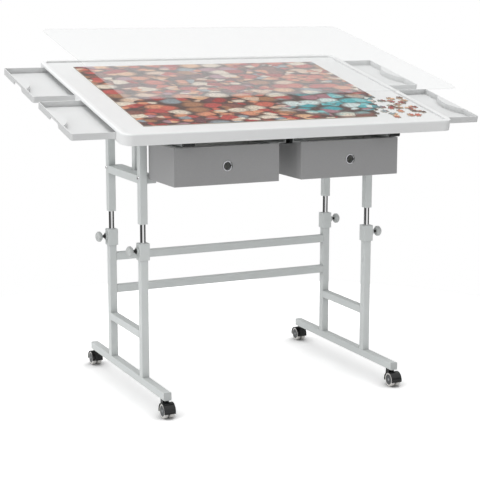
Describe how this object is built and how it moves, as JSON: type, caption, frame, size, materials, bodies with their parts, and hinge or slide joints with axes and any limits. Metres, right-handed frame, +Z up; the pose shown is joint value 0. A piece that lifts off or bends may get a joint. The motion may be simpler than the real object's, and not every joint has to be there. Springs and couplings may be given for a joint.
{
  "type": "jigsaw puzzle table with drawers",
  "caption": "White tilting puzzle table on a wheeled grey tube stand, with slide-out sorting trays, hanging drawers and a clear cover.",
  "frame": {"origin": "on the floor under the middle of the whole outline", "axes": "+X to the right of someone sitting at the table, +Y away from them, +Z up"},
  "size_m": [1.116, 0.6746, 0.9305],
  "materials": {
    "frame": "satin powder coat",
    "grey_plastic": "satin",
    "bright_steel": "satin",
    "chrome": "polished",
    "black_steel": "satin",
    "white_plastic": "satin",
    "clear_sheet": "clear",
    "drawer_fabric": "matt",
    "black_plastic": "gloss",
    "wheel": "satin"
  },
  "bodies": {
    "base": {"foot_beam_left": "frame", "foot_beam_right": "frame", "foot_caps": "grey_plastic", "lower_post_left_front": "frame", "lower_post_left_rear": "frame", "lower_post_right_front": "frame", "lower_post_right_rear": "frame", "lower_crossbar_left": "frame", "lower_crossbar_right": "frame", "high_stretcher": "frame", "low_stretcher": "frame", "clamp_collars": "frame", "caster_stems": "bright_steel"},
    "upper_frame": {"upper_post_left_front": "frame", "upper_post_left_rear": "frame", "upper_post_right_front": "frame", "upper_post_right_rear": "frame", "chrome_legs": "chrome", "side_rail_left": "frame", "side_rail_right": "frame", "top_side_rails": "frame", "cross_rails": "frame", "centre_rail": "frame", "centre_support_left": "frame", "centre_support_right": "frame", "hinge_arm_left": "frame", "hinge_arm_right": "frame", "drawer_channels": "frame", "frame_bolts": "black_steel", "hinge_pins": "bright_steel"},
    "top": {"tabletop": "white_plastic", "tray_rails": "white_plastic", "hinge_leaves": "black_steel"},
    "cover": {"clear_cover": "clear_sheet"},
    "tray_left_front": {"tray_left_front": "white_plastic"},
    "tray_left_rear": {"tray_left_rear": "white_plastic"},
    "tray_right_front": {"tray_right_front": "white_plastic"},
    "tray_right_rear": {"tray_right_rear": "white_plastic"},
    "drawer_left": {"drawer_left": "drawer_fabric", "eyelet_left": "chrome"},
    "drawer_right": {"drawer_right": "drawer_fabric", "eyelet_right": "chrome"},
    "lower_stay_left": {"lower_stay_left": "black_steel"},
    "upper_stay_left": {"upper_stay_left": "black_steel"},
    "lower_stay_right": {"lower_stay_right": "black_steel"},
    "upper_stay_right": {"upper_stay_right": "black_steel"},
    "knob_left_front": {"clamp_knob_left_front": "grey_plastic"},
    "knob_left_rear": {"clamp_knob_left_rear": "grey_plastic"},
    "knob_right_front": {"clamp_knob_right_front": "grey_plastic"},
    "knob_right_rear": {"clamp_knob_right_rear": "grey_plastic"},
    "fork_left_front": {"caster_hood_left_front": "black_plastic"},
    "wheels_left_front": {"caster_wheels_left_front": "wheel"},
    "fork_left_rear": {"caster_hood_left_rear": "black_plastic"},
    "wheels_left_rear": {"caster_wheels_left_rear": "wheel"},
    "fork_right_front": {"caster_hood_right_front": "black_plastic"},
    "wheels_right_front": {"caster_wheels_right_front": "wheel"},
    "fork_right_rear": {"caster_hood_right_rear": "black_plastic"},
    "wheels_right_rear": {"caster_wheels_right_rear": "wheel"}
  },
  "joints": [
    {"name": "height_adjust", "type": "slide", "parent": "base", "child": "upper_frame", "axis": [0, 0, 1], "range_m": [-0.048, 0.15]},
    {"name": "top_tilt", "type": "hinge", "parent": "upper_frame", "child": "top", "pos_m": [0, -0.30345, 0.6751], "axis": [1, 0, 0], "range_deg": [-12.24, 32.76]},
    {"name": "cover_lift", "type": "slide", "parent": "top", "child": "cover", "axis": [0, -0.212, 0.9773], "range_m": [-0.0823, 0.05]},
    {"name": "tray_left_front_slide", "type": "slide", "parent": "top", "child": "tray_left_front", "axis": [-1, 0, 0], "range_m": [-0.108, 0]},
    {"name": "tray_left_rear_slide", "type": "slide", "parent": "top", "child": "tray_left_rear", "axis": [-1, 0, 0], "range_m": [-0.108, 0]},
    {"name": "tray_right_front_slide", "type": "slide", "parent": "top", "child": "tray_right_front", "axis": [1, 0, 0], "range_m": [-0.108, 0]},
    {"name": "tray_right_rear_slide", "type": "slide", "parent": "top", "child": "tray_right_rear", "axis": [1, 0, 0], "range_m": [-0.108, 0]},
    {"name": "drawer_left_slide", "type": "slide", "parent": "upper_frame", "child": "drawer_left", "axis": [0, -1, 0], "range_m": [0, 0.12]},
    {"name": "drawer_right_slide", "type": "slide", "parent": "upper_frame", "child": "drawer_right", "axis": [0, -1, 0], "range_m": [0, 0.12]},
    {"name": "lower_stay_left_turn", "type": "hinge", "parent": "upper_frame", "child": "lower_stay_left", "pos_m": [-0.2652, -0.21445, 0.6751], "axis": [1, 0, 0], "range_deg": [-12.24, 32.76]},
    {"name": "upper_stay_left_turn", "type": "hinge", "parent": "top", "child": "upper_stay_left", "pos_m": [-0.2609, -0.21647, 0.69397], "axis": [1, 0, 0], "range_deg": [-32.76, 12.24]},
    {"name": "lower_stay_right_turn", "type": "hinge", "parent": "upper_frame", "child": "lower_stay_right", "pos_m": [0.2652, -0.21445, 0.6751], "axis": [1, 0, 0], "range_deg": [-12.24, 32.76]},
    {"name": "upper_stay_right_turn", "type": "hinge", "parent": "top", "child": "upper_stay_right", "pos_m": [0.2609, -0.21647, 0.69397], "axis": [1, 0, 0], "range_deg": [-32.76, 12.24]},
    {"name": "knob_left_front_turn", "type": "hinge", "parent": "base", "child": "knob_left_front", "pos_m": [-0.34, -0.10415, 0.3906], "axis": [1, 0, 0], "range_deg": [0, 360]},
    {"name": "knob_left_rear_turn", "type": "hinge", "parent": "base", "child": "knob_left_rear", "pos_m": [-0.34, 0.12705, 0.3906], "axis": [1, 0, 0], "range_deg": [0, 360]},
    {"name": "knob_right_front_turn", "type": "hinge", "parent": "base", "child": "knob_right_front", "pos_m": [0.34, -0.10415, 0.3906], "axis": [1, 0, 0], "range_deg": [0, 360]},
    {"name": "knob_right_rear_turn", "type": "hinge", "parent": "base", "child": "knob_right_rear", "pos_m": [0.34, 0.12705, 0.3906], "axis": [1, 0, 0], "range_deg": [0, 360]},
    {"name": "caster_left_front_swivel", "type": "hinge", "parent": "base", "child": "fork_left_front", "pos_m": [-0.3228, -0.24055, 0.0437], "axis": [0, 0, 1], "continuous": true},
    {"name": "caster_left_front_roll", "type": "hinge", "parent": "fork_left_front", "child": "wheels_left_front", "pos_m": [-0.3228, -0.25655, 0.0182], "axis": [1, 0, 0], "continuous": true},
    {"name": "caster_left_rear_swivel", "type": "hinge", "parent": "base", "child": "fork_left_rear", "pos_m": [-0.3228, 0.26345, 0.0437], "axis": [0, 0, 1], "continuous": true},
    {"name": "caster_left_rear_roll", "type": "hinge", "parent": "fork_left_rear", "child": "wheels_left_rear", "pos_m": [-0.3228, 0.27945, 0.0182], "axis": [1, 0, 0], "continuous": true},
    {"name": "caster_right_front_swivel", "type": "hinge", "parent": "base", "child": "fork_right_front", "pos_m": [0.3228, -0.24055, 0.0437], "axis": [0, 0, 1], "continuous": true},
    {"name": "caster_right_front_roll", "type": "hinge", "parent": "fork_right_front", "child": "wheels_right_front", "pos_m": [0.3228, -0.25655, 0.0182], "axis": [1, 0, 0], "continuous": true},
    {"name": "caster_right_rear_swivel", "type": "hinge", "parent": "base", "child": "fork_right_rear", "pos_m": [0.3228, 0.26345, 0.0437], "axis": [0, 0, 1], "continuous": true},
    {"name": "caster_right_rear_roll", "type": "hinge", "parent": "fork_right_rear", "child": "wheels_right_rear", "pos_m": [0.3228, 0.27945, 0.0182], "axis": [1, 0, 0], "continuous": true}
  ],
  "couplings": [
    {"joint": "lower_stay_left_turn", "follows": "top_tilt", "ratio": 1},
    {"joint": "upper_stay_left_turn", "follows": "top_tilt", "ratio": -1},
    {"joint": "lower_stay_right_turn", "follows": "top_tilt", "ratio": 1},
    {"joint": "upper_stay_right_turn", "follows": "top_tilt", "ratio": -1}
  ]
}
